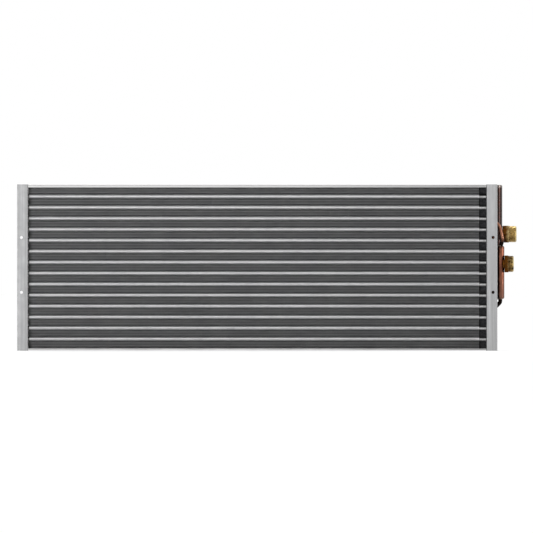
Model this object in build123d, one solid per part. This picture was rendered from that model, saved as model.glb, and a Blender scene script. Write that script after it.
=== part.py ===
from build123d import *
import math
import os

# A plate-fin condenser coil for a vehicle air conditioner. Two rows of tubes run from end plate to
# end plate through a pack of fins. Hairpin bends turn the tubes round at the left, and return bends,
# feeders and two headers join them into four circuits at the right.
# Millimetres. X runs along the coil, Y from the front to the rear, Z up. The origin is the centre of
# the four flange holes, on the front face of the flanges.

# End plates
overall_width = 1112.0
plate_thickness = 1.6
plate_bend_radius = 2.0
flange_width = 25.4
rear_lip_width = 6.0

# Mounting holes in the front flanges, each midway between one of these hairpins and the next above
hole_diameter = 7.0
hole_edge_distance = 10.0
low_hole_hairpin = 4
high_hole_hairpin = 9

# Tubes, and the plate left below the lowest and above the highest of them
tube_od = 9.52
tube_pitch = 25.4
row_pitch = 22.0
tubes_per_row = 14
margin_below_tubes = 14.4
margin_above_tubes = 27.7
tube_facets = 8
bend_steps = 5
hairpin_lead = 3.0
leg_stub = 3.0
return_lead = 1.0

# Fin pack
fin_setback = 2.0
fin_gap_left = 0.3
fin_gap_right = 17.0
fin_edge_thickness = 0.8
fin_edge_count = 72

# Rails over and under the fins
rail_thickness = 1.0
rail_plate_gap = 1.0
top_rail_lip = 6.0
bottom_rail_lip = 3.6

# Foam strip between the two rows of bare tubes, which stops the air from passing beside the fins
bypass_strip_thickness = 6.0

# Circuits, as the lowest and the highest hairpin of each, counted from the bottom
circuits = [(0, 4), (5, 7), (8, 10), (11, 13)]

# Headers, placed from the outside of the right plate and from the tubes they serve
gas_header_od = 28.6
gas_header_reach = 21.8
gas_header_above_lowest = 2.0
gas_header_above_highest = 39.4
liquid_header_od = 19.05
liquid_header_reach = 30.8
liquid_header_forward = 2.0
liquid_header_below_lowest = 34.1
liquid_header_above_highest = 11.7
header_clearance = 0.6

# Feeders between the tubes and the headers
feeder_lead = 6.0
feeder_entry_margin = 12.0
riser_reach = 13.8
riser_end_drop = 8.0
drop_knee_back = 2.0
drop_knee_fall = 18.0
drop_bulge = 5.0
drop_bulge_rise = 14.5

# Threaded union fittings, each placed above the bottom of its header
thread_od = 38.1
hex_across_flats = 39.0
port_bore = 25.0
port_floor = 4.0
neck_across = 22.0
fitting_seat_gap = 0.4
gas_fitting_rise = 151.9
gas_fitting_length = 47.0
gas_fitting_hex = 15.0
liquid_fitting_rise = 80.8
liquid_fitting_length = 31.0
liquid_fitting_hex = 9.0

ON_BASE = (Align.CENTER, Align.CENTER, Align.MIN)
FROM_CORNER = (Align.MIN, Align.MIN, Align.MIN)

# Places across the coil
plate_outer_edge = overall_width / 2
web_inner = plate_outer_edge - flange_width
web_outer = web_inner + plate_thickness
leg_end = web_outer + leg_stub
hairpin_turn = -web_outer - hairpin_lead
fin_left = -web_inner + fin_gap_left
fin_right = web_inner - fin_gap_right
gas_header_x = web_outer + gas_header_reach
liquid_header_x = web_outer + liquid_header_reach
riser_x = web_outer + riser_reach

# Heights, with the origin midway between the lower and the upper holes
first_front_tube = margin_below_tubes + tube_pitch / 2
hole_over_leg = tube_pitch / 4
mean_hole_hairpin = (low_hole_hairpin + high_hole_hairpin) / 2
bottom = -(first_front_tube + mean_hole_hairpin * tube_pitch + hole_over_leg)
plate_height = first_front_tube + (tubes_per_row - 1) * tube_pitch + margin_above_tubes
fin_bottom = bottom + rail_plate_gap + rail_thickness
fin_top = bottom + plate_height - rail_plate_gap - rail_thickness

# Places from front to rear
fin_front = fin_setback
fin_back = fin_front + 2 * row_pitch
plate_depth = fin_back + fin_setback
core_middle = (fin_front + fin_back) / 2
front_row = core_middle - row_pitch / 2
rear_row = core_middle + row_pitch / 2
tube_corner_radius = tube_od / 2 / math.cos(math.pi / tube_facets)
gas_header_y = rear_row + tube_corner_radius + header_clearance + gas_header_od / 2
liquid_header_y = core_middle - liquid_header_forward


def front_tube(k):
    """Height of tube k of the front row above the origin."""
    return bottom + first_front_tube + k * tube_pitch


def rear_tube(k):
    """Height of tube k of the rear row, half a pitch below its partner."""
    return front_tube(k) - tube_pitch / 2


def front_point(x, k):
    return Vector(x, front_row, front_tube(k))


def rear_point(x, k):
    return Vector(x, rear_row, rear_tube(k))


# The way from a rear tube to its partner in the front row, which is the plane of the hairpin bend
pair_way = (front_point(0, 0) - rear_point(0, 0)).normalized()


def tube_section(start, along, across):
    """The tube's section at a point, with one flat facing the way given by across."""
    plane = Plane(origin=start, x_dir=across, z_dir=along)
    return plane * RegularPolygon(tube_od / 2, tube_facets, major_radius=False, rotation=180 / tube_facets)


def pipe(points, across):
    """A tube along straight runs with mitred corners."""
    path = Polyline(*points)
    profile = tube_section(points[0], (points[1] - points[0]).normalized(), across)
    return sweep(profile, path=path, transition=Transition.RIGHT)


def half_turn(centre, start_arm, out):
    """Points round a half turn, from centre + start_arm, bulging the way of out."""
    radius = start_arm.length
    angles = [math.pi * i / bend_steps for i in range(bend_steps + 1)]
    return [centre + start_arm * math.cos(a) + out * (radius * math.sin(a)) for a in angles]


def end_plate(side):
    """A tube sheet folded outwards into a wide front flange and a narrow rear lip."""
    half = plate_thickness / 2
    web = side * (web_inner + half)
    fold = FilletPolyline(
        (side * plate_outer_edge, half),
        (web, half),
        (web, plate_depth - half),
        (side * (web_inner + rear_lip_width), plate_depth - half),
        radius=plate_bend_radius,
    )
    sheet = Pos(0, 0, bottom) * extrude(trace(fold, plate_thickness), plate_height)
    for k in range(tubes_per_row):
        for centre in (front_point(side * web_inner, k), rear_point(side * web_inner, k)):
            start = centre - Vector(side * plate_thickness, 0, 0)
            hole = tube_section(start, Vector(side, 0, 0), pair_way)
            sheet -= extrude(hole, 3 * plate_thickness)
    for k in (low_hole_hairpin, high_hole_hairpin):
        place = Pos(side * (plate_outer_edge - hole_edge_distance), 0, front_tube(k) + hole_over_leg)
        sheet -= place * Rot(90, 0, 0) * Cylinder(hole_diameter / 2, 4 * plate_thickness)
    return sheet


def rail(web_height, lip, down):
    """A folded strip between the end plates that caps the fins, with a lip before and behind them."""
    y_front = fin_front - rail_thickness
    y_back = fin_back + rail_thickness
    length = 2 * web_inner
    depth = y_back - y_front
    strip = Pos(-web_inner, y_front, web_height) * Box(length, depth, rail_thickness, align=FROM_CORNER)
    lip_base = web_height + rail_thickness - lip if down else web_height
    for y in (y_front, fin_back):
        strip += Pos(-web_inner, y, lip_base) * Box(length, rail_thickness, lip, align=FROM_CORNER)
    return strip


def fin_core():
    """The fins as one block between the two tube rows, grooved round the rear half of each tube."""
    run = fin_right - fin_left
    height = fin_top - fin_bottom
    core = Pos(fin_left, front_row, fin_bottom) * Box(run, rear_row - front_row, height, align=FROM_CORNER)
    for k in range(tubes_per_row):
        for start in (front_point(fin_left, k), rear_point(fin_left, k)):
            core -= extrude(tube_section(start, Vector(1, 0, 0), pair_way), run)
    return core


def fin_edges(y_near, y_far):
    """The outer strips of the fins, which stand before or behind a row of tubes."""
    step = (fin_right - fin_left - fin_edge_thickness) / (fin_edge_count - 1)
    strip = Box(fin_edge_thickness, y_far - y_near, fin_top - fin_bottom, align=FROM_CORNER)
    return Compound([Pos(fin_left + i * step, y_near, fin_bottom) * strip for i in range(fin_edge_count)])


def bypass_strip():
    """A strip from rail to rail, midway between the tube rows, from the last fin to the end plate."""
    y_near = core_middle - bypass_strip_thickness / 2
    strip = Box(web_inner - fin_right, bypass_strip_thickness, fin_top - fin_bottom, align=FROM_CORNER)
    return Pos(fin_right, y_near, fin_bottom) * strip


def hairpin(k):
    """One long U of tube: a front leg, the bend at the left, and a rear leg half a pitch lower."""
    middle = (front_point(hairpin_turn, k) + rear_point(hairpin_turn, k)) / 2
    turn = half_turn(middle, front_point(hairpin_turn, k) - middle, Vector(-1, 0, 0))
    return pipe([front_point(leg_end, k), *turn, rear_point(leg_end, k)], pair_way)


def return_bend(upper):
    """A U that joins a tube end to the next one below it in the same row."""
    arm = Vector(0, 0, tube_pitch / 2)
    lead = Vector(return_lead, 0, 0)
    turn = half_turn(upper - arm + lead, arm, Vector(1, 0, 0))
    return pipe([upper, *turn, upper - arm * 2], Vector(0, 0, 1))


def header(x, y, low, high, diameter):
    """A vertical pipe, closed flat at both ends."""
    return Pos(x, y, low) * Cylinder(diameter / 2, high - low, align=ON_BASE)


def side_feeder(start, x, y, low, high, pipe_header):
    """A short tube from a tube end to the side of a header, clear of the header's ends."""
    entry = min(max(start.Z, low + feeder_entry_margin), high - feeder_entry_margin)
    corner = start + Vector(feeder_lead, 0, 0)
    return pipe([start, corner, Vector(x, y, entry)], Vector(0, 0, 1)) - pipe_header


def top_feeder(start, pipe_header):
    """A tube that falls from a tube end, swells outwards and meets the top of the liquid header."""
    corner = start + Vector(feeder_lead, 0, 0)
    header_end = Vector(liquid_header_x, liquid_header_y, liquid_header_top)
    knee_y = (corner.Y + header_end.Y) / 2
    knee = Vector(liquid_header_x - drop_knee_back, knee_y, corner.Z - drop_knee_fall)
    bulge = header_end + Vector(drop_bulge, 0, drop_bulge_rise)
    inside = header_end - Vector(0, 0, tube_od)
    return pipe([start, corner, knee, bulge, inside], Vector(0, 0, 1)) - pipe_header


def bottom_feeder(start):
    """A tube that climbs between the two rows of bends and into the bottom of the liquid header."""
    corner = start + Vector(feeder_lead, 0, 0)
    side_step = Vector(riser_x - corner.X, core_middle - corner.Y, 0)
    header_end = Vector(liquid_header_x, liquid_header_y, liquid_header_bottom)
    knee = header_end - Vector(0, 0, riser_end_drop)
    low = corner + side_step + Vector(0, 0, side_step.length)
    high = Vector(riser_x, core_middle, knee.Z - (knee.X - riser_x))
    return pipe([start, corner, low, high, knee, header_end], Vector(0, 0, 1))


def union_fitting(x, y, height, header_od, hex_length, length, pipe_header):
    """A brass union: a neck brazed to the header, a hexagon and a threaded end with an open bore."""
    seat = header_od / 2 + fitting_seat_gap
    neck = RegularPolygon(neck_across / 2, tube_facets, major_radius=False, rotation=180 / tube_facets)
    hexagon = RegularPolygon(hex_across_flats / 2, 6, major_radius=False, rotation=30)
    thread_start = seat + hex_length
    bore_start = seat + port_floor
    body = extrude(neck, seat)
    body += Pos(0, 0, seat) * extrude(hexagon, hex_length)
    body += Pos(0, 0, thread_start) * Cylinder(thread_od / 2, length - thread_start, align=ON_BASE)
    body -= Pos(0, 0, bore_start) * Cylinder(port_bore / 2, length - bore_start, align=ON_BASE)
    return Pos(x, y, height) * Rot(0, 90, 0) * body - pipe_header


def write(name, shape):
    export_step(shape, f"parts/{name}.step")
    print(name, "solids", len(shape.solids()))


write("left_end_plate", end_plate(-1))
write("right_end_plate", end_plate(1))
write("top_rail", rail(fin_top, top_rail_lip, True))
write("bottom_rail", rail(fin_bottom - rail_thickness, bottom_rail_lip, False))
write("fin_core", fin_core())
write("front_fin_edges", fin_edges(fin_front, front_row - tube_corner_radius))
write("rear_fin_edges", fin_edges(rear_row + tube_corner_radius, fin_back))
write("bypass_strip", bypass_strip())

for k in range(tubes_per_row):
    write(f"hairpin_tube_{k + 1:02d}", hairpin(k))

gas_header_bottom = rear_tube(circuits[0][1]) + gas_header_above_lowest
gas_header_top = rear_tube(circuits[-1][1]) + gas_header_above_highest
gas_header = header(gas_header_x, gas_header_y, gas_header_bottom, gas_header_top, gas_header_od)
write("gas_header", gas_header)

# The liquid header stands between the second and the third circuit's exits
liquid_header_bottom = front_tube(circuits[1][0]) - liquid_header_below_lowest
liquid_header_top = front_tube(circuits[2][0]) + liquid_header_above_highest
liquid_header = header(
    liquid_header_x, liquid_header_y, liquid_header_bottom, liquid_header_top, liquid_header_od
)
write("liquid_header", liquid_header)

# Gas enters the top rear tube of each circuit, and liquid leaves the bottom front tube
bend_uppers = []
for number, (low, high) in enumerate(circuits, 1):
    for k in range(high, low, -2):
        bend_uppers.append(front_point(leg_end, k))
        bend_uppers.append(rear_point(leg_end, k - 1))
    entry_end = rear_point(leg_end, high)
    gas_feeder = side_feeder(
        entry_end, gas_header_x, gas_header_y, gas_header_bottom, gas_header_top, gas_header
    )
    write(f"gas_feeder_{number}", gas_feeder)
    exit_end = front_point(leg_end, low)
    if exit_end.Z > liquid_header_top:
        liquid_feeder = top_feeder(exit_end, liquid_header)
    elif exit_end.Z < liquid_header_bottom:
        liquid_feeder = bottom_feeder(exit_end)
    else:
        liquid_feeder = side_feeder(
            exit_end, liquid_header_x, liquid_header_y, liquid_header_bottom, liquid_header_top, liquid_header
        )
    write(f"liquid_feeder_{number}", liquid_feeder)

for number, upper in enumerate(bend_uppers, 1):
    write(f"return_bend_{number:02d}", return_bend(upper))

gas_fitting = union_fitting(
    gas_header_x,
    gas_header_y,
    gas_header_bottom + gas_fitting_rise,
    gas_header_od,
    gas_fitting_hex,
    gas_fitting_length,
    gas_header,
)
write("gas_inlet_fitting", gas_fitting)
liquid_fitting = union_fitting(
    liquid_header_x,
    liquid_header_y,
    liquid_header_bottom + liquid_fitting_rise,
    liquid_header_od,
    liquid_fitting_hex,
    liquid_fitting_length,
    liquid_header,
)
write("liquid_outlet_fitting", liquid_fitting)
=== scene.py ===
# %% [markdown]
# This lesson dresses a condenser coil of a vehicle air conditioner. The solid model gives the place and
# the size of every piece, and here each one gets its true surface: thin wavy fins, round copper tubes,
# folded aluminium plates and brass unions. Everything is in metres, in the solid model's own frame.

# %% Load the frame
import math
import random

import bmesh
import bpy
from mathutils import Matrix, Vector


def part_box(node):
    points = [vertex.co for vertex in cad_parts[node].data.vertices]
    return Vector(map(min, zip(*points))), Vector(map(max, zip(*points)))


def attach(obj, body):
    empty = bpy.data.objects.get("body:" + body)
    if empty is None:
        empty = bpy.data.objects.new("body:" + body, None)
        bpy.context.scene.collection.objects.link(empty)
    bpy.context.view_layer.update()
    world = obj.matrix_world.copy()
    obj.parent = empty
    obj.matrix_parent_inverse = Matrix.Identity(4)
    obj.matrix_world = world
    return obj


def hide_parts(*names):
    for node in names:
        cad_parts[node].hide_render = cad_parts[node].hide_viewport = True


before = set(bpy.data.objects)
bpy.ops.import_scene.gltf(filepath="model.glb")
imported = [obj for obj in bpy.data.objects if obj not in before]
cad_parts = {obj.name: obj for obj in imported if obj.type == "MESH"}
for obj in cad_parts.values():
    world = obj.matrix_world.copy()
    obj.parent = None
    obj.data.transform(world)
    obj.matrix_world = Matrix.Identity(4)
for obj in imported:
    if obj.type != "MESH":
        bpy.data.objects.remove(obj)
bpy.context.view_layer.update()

# %% [markdown]
# The sizes come first. A few are those of the real coil, in millimetres turned into metres, and the rest
# are read from the solid model or worked out from them, so that each piece lands where the model says.

# %% Sizes of the coil
MM = 0.001
plate_low, plate_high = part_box("right_end_plate")
core_low, core_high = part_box("fin_core")
front_fin_low, front_fin_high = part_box("front_fin_edges")
rear_fin_low, rear_fin_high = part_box("rear_fin_edges")
gas_header_low, gas_header_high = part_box("gas_header")
liquid_header_low, liquid_header_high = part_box("liquid_header")
gas_union_low, gas_union_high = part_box("gas_inlet_fitting")
liquid_union_low, liquid_union_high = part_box("liquid_outlet_fitting")

tube_radius = 4.76 * MM
tube_pitch = 25.4 * MM
tubes_per_row = 14
plate_thickness = 1.6 * MM
plate_bend_radius = 2.0 * MM
lowest_front_tube = 27.1 * MM
leg_stub = 3.0 * MM
hairpin_lead = 3.0 * MM

base_height = plate_low.z
top_height = plate_high.z
web_inner = plate_low.x
web_outer = web_inner + plate_thickness
outer_edge = plate_high.x
plate_depth = plate_high.y
front_row = core_low.y
rear_row = core_high.y
core_middle = (front_row + rear_row) / 2
leg_end = web_outer + leg_stub
print("web", round(web_inner, 4), "rows", round(front_row, 4), round(rear_row, 4))


def front_tube(k):
    """Height of tube k of the front row, counted from the bottom."""
    return base_height + lowest_front_tube + k * tube_pitch


def rear_tube(k):
    """Height of tube k of the rear row, half a pitch below its partner."""
    return front_tube(k) - tube_pitch / 2


# %% [markdown]
# Every piece ends the same way: the bmesh becomes a mesh, its normals are made to point outwards, its
# flat faces stay flat and its round ones are shaded smooth, it is hung on the body it rides on, the
# solids it stands for are hidden, and it takes its finish. One helper does that for all of them.

# %% Finish a piece
SHARP_ANGLE = math.radians(35)


def finish_piece(bm, name, material, nodes=(), weld=1e-6):
    """Turns a bmesh into a piece of the object."""
    bmesh.ops.remove_doubles(bm, verts=bm.verts[:], dist=weld)
    bmesh.ops.recalc_face_normals(bm, faces=bm.faces[:])
    mesh = bpy.data.meshes.new(name)
    bm.to_mesh(mesh)
    bm.free()
    mesh.shade_smooth()
    mesh.set_sharp_from_angle(angle=SHARP_ANGLE)
    piece = bpy.data.objects.new(name, mesh)
    bpy.context.scene.collection.objects.link(piece)
    mesh.materials.append(material)
    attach(piece, "root")
    if nodes:
        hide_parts(*nodes)
    triangles = sum(len(p.vertices) - 2 for p in mesh.polygons)
    print(f"{name}: {triangles} triangles")
    return piece


# %% [markdown]
# Metals are told apart by colour, by how sharp their reflections are and by what has happened to them.
# A few effects are used again and again, so each is a node group that is built once: cloudy blotches of
# oxide, fine streaks left by rolling and drawing, a tint that fades with the distance from a plane, used
# both for the dark tint that a brazing flame leaves near a joint and for painted shade beside plates and
# between parts, a mask on what faces up, used for painted shade on upper sides, and level lines that run
# along the fins above and below each tube, used for a painted highlight along the ribs of the foil and
# painted shade in its creases.
# They put out masks, and each material turns a mask into its own colours and roughness.

# %% Shared effects
def make_group(name, inputs, output):
    """A shader node group with float or vector inputs and one float output."""
    group = bpy.data.node_groups.new(name, "ShaderNodeTree")
    for label, kind, value in inputs:
        socket = group.interface.new_socket(label, in_out="INPUT", socket_type=kind)
        socket.default_value = value
    group.interface.new_socket(output, in_out="OUTPUT", socket_type="NodeSocketFloat")
    return group, group.nodes.new("NodeGroupInput"), group.nodes.new("NodeGroupOutput")


def blotches_group():
    """Soft cloudy patches at two sizes."""
    group, given, result = make_group(
        "Blotches",
        [("Scale", "NodeSocketFloat", 40.0), ("Low", "NodeSocketFloat", 0.4), ("High", "NodeSocketFloat", 0.65)],
        "Mask",
    )
    place = group.nodes.new("ShaderNodeTexCoord")
    noise = group.nodes.new("ShaderNodeTexNoise")
    noise.inputs["Detail"].default_value = 6.0
    noise.inputs["Roughness"].default_value = 0.6
    spread = group.nodes.new("ShaderNodeMapRange")
    group.links.new(place.outputs["Object"], noise.inputs["Vector"])
    group.links.new(given.outputs["Scale"], noise.inputs["Scale"])
    group.links.new(noise.outputs["Fac"], spread.inputs["Value"])
    group.links.new(given.outputs["Low"], spread.inputs["From Min"])
    group.links.new(given.outputs["High"], spread.inputs["From Max"])
    group.links.new(spread.outputs["Result"], result.inputs["Mask"])
    return group


def streaks_group():
    """Fine lines drawn out along one axis by a stretched noise."""
    group, given, result = make_group(
        "Streaks",
        [("Stretch", "NodeSocketVector", (900.0, 900.0, 12.0))],
        "Mask",
    )
    place = group.nodes.new("ShaderNodeTexCoord")
    stretch = group.nodes.new("ShaderNodeVectorMath")
    stretch.operation = "MULTIPLY"
    noise = group.nodes.new("ShaderNodeTexNoise")
    noise.inputs["Scale"].default_value = 1.0
    noise.inputs["Detail"].default_value = 4.0
    group.links.new(place.outputs["Object"], stretch.inputs[0])
    group.links.new(given.outputs["Stretch"], stretch.inputs[1])
    group.links.new(stretch.outputs["Vector"], noise.inputs["Vector"])
    group.links.new(noise.outputs["Fac"], result.inputs["Mask"])
    return group


def flame_tint_and_shade_group():
    """Falls from 1 to 0 with the distance from a plane across an axis, with a cloudy edge.

    A fullness above 1 holds it at 1 for a while before it falls.
    """
    group, given, result = make_group(
        "Flame tint and shade",
        [
            ("Axis", "NodeSocketVector", (1.0, 0.0, 0.0)),
            ("Plane", "NodeSocketFloat", 0.535),
            ("Reach", "NodeSocketFloat", 0.03),
            ("Fullness", "NodeSocketFloat", 1.0),
        ],
        "Mask",
    )
    place = group.nodes.new("ShaderNodeTexCoord")
    along = group.nodes.new("ShaderNodeVectorMath")
    along.operation = "DOT_PRODUCT"
    noise = group.nodes.new("ShaderNodeTexNoise")
    noise.inputs["Scale"].default_value = 120.0
    level = group.nodes.new("ShaderNodeMath")
    level.operation = "SUBTRACT"
    level.inputs[1].default_value = 0.5
    cloud = group.nodes.new("ShaderNodeMath")
    cloud.operation = "MULTIPLY_ADD"
    cloud.inputs[1].default_value = 0.014
    away = group.nodes.new("ShaderNodeMath")
    away.operation = "SUBTRACT"
    size = group.nodes.new("ShaderNodeMath")
    size.operation = "ABSOLUTE"
    share = group.nodes.new("ShaderNodeMath")
    share.operation = "DIVIDE"
    turn = group.nodes.new("ShaderNodeMath")
    turn.operation = "SUBTRACT"
    turn.use_clamp = True
    group.links.new(given.outputs["Fullness"], turn.inputs[0])
    group.links.new(place.outputs["Object"], along.inputs[0])
    group.links.new(given.outputs["Axis"], along.inputs[1])
    group.links.new(place.outputs["Object"], noise.inputs["Vector"])
    group.links.new(noise.outputs["Fac"], level.inputs[0])
    group.links.new(level.outputs[0], cloud.inputs[0])
    group.links.new(along.outputs["Value"], cloud.inputs[2])
    group.links.new(cloud.outputs[0], away.inputs[0])
    group.links.new(given.outputs["Plane"], away.inputs[1])
    group.links.new(away.outputs[0], size.inputs[0])
    group.links.new(size.outputs[0], share.inputs[0])
    group.links.new(given.outputs["Reach"], share.inputs[1])
    group.links.new(share.outputs[0], turn.inputs[1])
    group.links.new(turn.outputs[0], result.inputs["Mask"])
    return group


def upper_side_shade_group():
    """1 on what faces up and 0 on what faces sideways or down, for painted shade on upper sides."""
    group, given, result = make_group(
        "Upper side shade",
        [("Low", "NodeSocketFloat", 0.2), ("High", "NodeSocketFloat", 0.8)],
        "Mask",
    )
    place = group.nodes.new("ShaderNodeTexCoord")
    split = group.nodes.new("ShaderNodeSeparateXYZ")
    spread = group.nodes.new("ShaderNodeMapRange")
    group.links.new(place.outputs["Normal"], split.inputs["Vector"])
    group.links.new(split.outputs["Z"], spread.inputs["Value"])
    group.links.new(given.outputs["Low"], spread.inputs["From Min"])
    group.links.new(given.outputs["High"], spread.inputs["From Max"])
    group.links.new(spread.outputs["Result"], result.inputs["Mask"])
    return group


def level_group():
    """1 at a distance above and below every front tube and 0 beyond a width from it, fainter at fin edges."""
    group, given, result = make_group(
        "Level lines",
        [("Distance", "NodeSocketFloat", 0.009), ("Width", "NodeSocketFloat", 0.001)],
        "Mask",
    )
    place = group.nodes.new("ShaderNodeTexCoord")
    split = group.nodes.new("ShaderNodeSeparateXYZ")
    start = group.nodes.new("ShaderNodeMath")
    start.operation = "SUBTRACT"
    start.inputs[1].default_value = front_tube(0)
    fold = group.nodes.new("ShaderNodeMath")
    fold.operation = "PINGPONG"
    fold.inputs[1].default_value = tube_pitch / 2
    near = group.nodes.new("ShaderNodeMath")
    near.operation = "SUBTRACT"
    size = group.nodes.new("ShaderNodeMath")
    size.operation = "ABSOLUTE"
    share = group.nodes.new("ShaderNodeMath")
    share.operation = "DIVIDE"
    turn = group.nodes.new("ShaderNodeMath")
    turn.operation = "SUBTRACT"
    turn.use_clamp = True
    turn.inputs[0].default_value = 1.0
    centre = group.nodes.new("ShaderNodeMath")
    centre.operation = "SUBTRACT"
    centre.inputs[1].default_value = core_middle
    away = group.nodes.new("ShaderNodeMath")
    away.operation = "ABSOLUTE"
    inside = group.nodes.new("ShaderNodeMapRange")
    inside.inputs["From Min"].default_value = level_line_reach
    inside.inputs["From Max"].default_value = level_line_reach - level_line_fade
    inside.inputs["To Min"].default_value = edge_share
    both = group.nodes.new("ShaderNodeMath")
    both.operation = "MULTIPLY"
    group.links.new(place.outputs["Object"], split.inputs["Vector"])
    group.links.new(split.outputs["Y"], centre.inputs[0])
    group.links.new(centre.outputs[0], away.inputs[0])
    group.links.new(away.outputs[0], inside.inputs["Value"])
    group.links.new(split.outputs["Z"], start.inputs[0])
    group.links.new(start.outputs[0], fold.inputs[0])
    group.links.new(fold.outputs[0], near.inputs[0])
    group.links.new(given.outputs["Distance"], near.inputs[1])
    group.links.new(near.outputs[0], size.inputs[0])
    group.links.new(size.outputs[0], share.inputs[0])
    group.links.new(given.outputs["Width"], share.inputs[1])
    group.links.new(share.outputs[0], turn.inputs[1])
    group.links.new(turn.outputs[0], both.inputs[0])
    group.links.new(inside.outputs["Result"], both.inputs[1])
    group.links.new(both.outputs[0], result.inputs["Mask"])
    return group


level_line_reach = 19.0 * MM
level_line_fade = 3.0 * MM
edge_share = 0.4
BLOTCHES = blotches_group()
STREAKS = streaks_group()
# This mask serves both the heat colour near brazed joints and painted shade beside plates and between parts.
FLAME_TINT_AND_SHADE = flame_tint_and_shade_group()
LEVELS = level_group()
# The mask on what faces up is used for painted shade on upper sides.
UPPER_SIDE_SHADE = upper_side_shade_group()
print("groups", [g.name for g in bpy.data.node_groups])


# %% [markdown]
# A material here is a short chain. It starts from a plain colour, lays one or two masks over it with
# other colours, and sends a mask to the roughness and to a small bump. The chain is kept in a little
# class, so that each finish below reads as a list of what was done to the metal.

# %% The chain of a finish
class Finish:
    """A Principled material whose colour and roughness are built up by masks."""

    def __init__(self, name, colour, roughness, metallic=1.0):
        self.material = bpy.data.materials.new(name)
        self.material.use_nodes = True
        self.nodes = self.material.node_tree.nodes
        self.links = self.material.node_tree.links
        self.shader = self.nodes["Principled BSDF"]
        self.shader.inputs["Base Color"].default_value = (*colour, 1.0)
        self.shader.inputs["Roughness"].default_value = roughness
        self.shader.inputs["Metallic"].default_value = metallic
        self.colour = colour
        self.last = None

    def mask(self, group, **values):
        """Places an effect and returns its mask."""
        node = self.nodes.new("ShaderNodeGroup")
        node.node_tree = group
        for label, value in values.items():
            node.inputs[label].default_value = value
        return node.outputs[0]

    def tint(self, mask, colour, amount=1.0):
        """Lays another colour over the last one where the mask says."""
        mix = self.nodes.new("ShaderNodeMix")
        mix.data_type = "RGBA"
        strength = self.nodes.new("ShaderNodeMath")
        strength.operation = "MULTIPLY"
        strength.inputs[1].default_value = amount
        self.links.new(mask, strength.inputs[0])
        self.links.new(strength.outputs[0], mix.inputs["Factor"])
        if self.last is None:
            mix.inputs["A"].default_value = (*self.colour, 1.0)
        else:
            self.links.new(self.last, mix.inputs["A"])
        mix.inputs["B"].default_value = (*colour, 1.0)
        self.last = mix.outputs["Result"]
        self.links.new(self.last, self.shader.inputs["Base Color"])
        return self

    def rough(self, mask, low, high):
        """Lets a mask move the roughness between two values."""
        spread = self.nodes.new("ShaderNodeMapRange")
        spread.inputs["To Min"].default_value = low
        spread.inputs["To Max"].default_value = high
        self.links.new(mask, spread.inputs["Value"])
        self.links.new(spread.outputs["Result"], self.shader.inputs["Roughness"])
        return self

    def bump(self, mask, distance, strength=1.0):
        """Turns a mask into a small relief."""
        bump = self.nodes.new("ShaderNodeBump")
        bump.inputs["Distance"].default_value = distance
        bump.inputs["Strength"].default_value = strength
        self.links.new(mask, bump.inputs["Height"])
        self.links.new(bump.outputs["Normal"], self.shader.inputs["Normal"])
        return self


# %% [markdown]
# The plates are mill-finish aluminium sheet: pale grey, drawn out in faint upright lines by the rolls,
# and clouded by handling. The rails are the same sheet, a little brighter, with painted shade that grows
# towards the right end and on what faces up; the top rail is painted darker and the bottom one lighter,
# painted shade and painted light on the same metal. The fins are thin bright foil, but a fin only shows
# its narrow edge and the shade between it and the next, so its grey is darker.

# %% Aluminium finishes
def plate_finish():
    finish = Finish("plate_aluminium", (0.15, 0.153, 0.148), 0.46)
    bands = finish.mask(STREAKS, Stretch=(230.0, 230.0, 5.0))
    lines = finish.mask(STREAKS, Stretch=(800.0, 800.0, 14.0))
    clouds = finish.mask(BLOTCHES, Scale=60.0, Low=0.42, High=0.68)
    specks = finish.mask(BLOTCHES, Scale=420.0, Low=0.56, High=0.72)
    finish.tint(bands, (0.49, 0.49, 0.505), 1.0).tint(lines, (0.23, 0.23, 0.225), 0.5)
    finish.tint(clouds, (0.38, 0.38, 0.39), 0.45).tint(specks, (0.18, 0.18, 0.17), 0.4)
    return finish.rough(clouds, 0.40, 0.55).bump(lines, 0.00006).material


def rail_finish(name, base, band):
    finish = Finish(name, (base, base, base), 0.42)
    bands = finish.mask(BLOTCHES, Scale=9.0, Low=0.40, High=0.62)
    lines = finish.mask(STREAKS, Stretch=(9.0, 700.0, 700.0))
    # Painted shade: the rail grows darker towards its right end.
    right_end_shade = finish.mask(FLAME_TINT_AND_SHADE, Plane=web_inner, Reach=0.45)
    # Painted shade on what faces up.
    painted_shade_mask = finish.mask(UPPER_SIDE_SHADE)
    finish.tint(bands, (band, band, band), 0.9).tint(lines, (0.32, 0.32, 0.315), 0.5)
    finish.tint(right_end_shade, (0.25, 0.25, 0.25), 0.7).tint(painted_shade_mask, (0.27, 0.27, 0.265), 0.6)
    return finish.rough(bands, 0.36, 0.50).bump(lines, 0.00006).material


def fin_finish():
    """Foil with a painted highlight along faint pressed ribs, painted shade in the crease beside each collar and beside
    the left plate.
    """
    finish = Finish("fin_aluminium", (0.56, 0.56, 0.565), 0.36)
    clouds = finish.mask(BLOTCHES, Scale=14.0)
    lines = finish.mask(STREAKS, Stretch=(400.0, 60.0, 500.0))
    rib_highlight = finish.mask(LEVELS, Distance=rib_distance, Width=rib_width)
    crease_shade = finish.mask(LEVELS, Distance=crease_distance, Width=crease_width)
    painted_shade_mask = finish.mask(FLAME_TINT_AND_SHADE, Plane=front_fin_low.x, Reach=0.009)
    # Painted highlight along the ribs; painted shade in the creases and on the fins next to the left plate.
    finish.tint(clouds, (0.45, 0.45, 0.47), 0.6).tint(rib_highlight, (0.97, 0.97, 0.97), 1.0)
    finish.tint(crease_shade, (0.04, 0.04, 0.04), 1.0).tint(painted_shade_mask, (0.04, 0.04, 0.04), 0.95)
    return finish.rough(lines, 0.30, 0.46).bump(rib_highlight, 0.0003).material


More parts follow.
